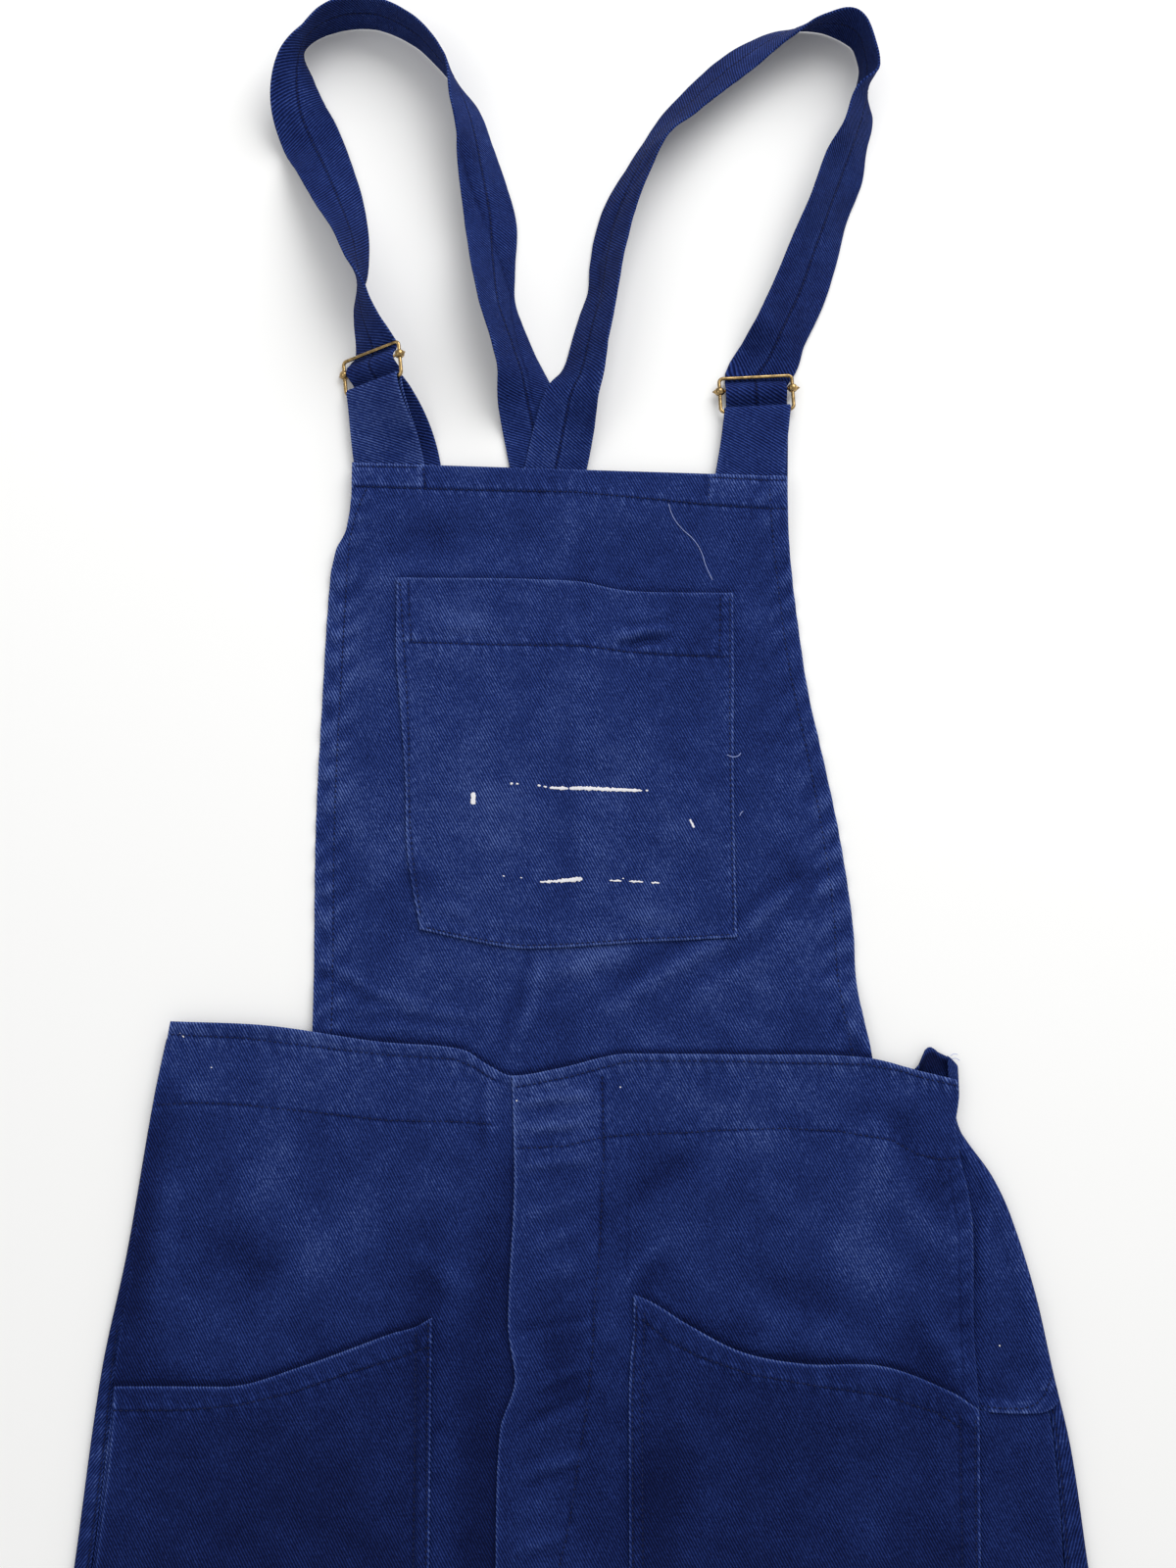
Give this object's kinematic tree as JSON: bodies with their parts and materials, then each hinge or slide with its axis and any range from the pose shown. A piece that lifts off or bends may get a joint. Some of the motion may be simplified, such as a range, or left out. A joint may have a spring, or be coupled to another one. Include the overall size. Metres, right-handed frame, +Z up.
{
  "type": "bib overalls",
  "caption": "Bib overalls in indigo cotton twill, laid flat face up with crossed shoulder straps, patch pockets, button-free fly and brass strap buckles.",
  "frame": {"origin": "on the floor under the back panels, at the middle of the back waist", "axes": "+X to the wearer's left, +Y from the legs towards the straps, +Z up, out of the front"},
  "size_m": [0.6104, 1.6884, 0.0373],
  "materials": {
    "body_twill": "washed indigo cotton twill, matt with a soft diagonal rib",
    "strap_twill": "washed indigo cotton twill, cut on the other grain and stitched double",
    "brass_wire": "aged drawn brass wire, slightly dulled"
  },
  "bodies": {
    "root": {"back_right": "body_twill", "back_left": "body_twill", "front_right": "body_twill", "front_left": "body_twill", "side_underlap_left": "body_twill", "bib": "body_twill", "bib_pocket": "body_twill", "hip_pocket_right": "body_twill", "hip_pocket_left": "body_twill", "shoulder_strap_right": "strap_twill", "shoulder_strap_left": "strap_twill", "strap_loop_right": "strap_twill", "strap_loop_left": "strap_twill", "buckle_frame_right": "brass_wire", "buckle_frame_left": "brass_wire", "buckle_bar_right": "brass_wire", "buckle_bar_left": "brass_wire"}
  },
  "joints": []
}
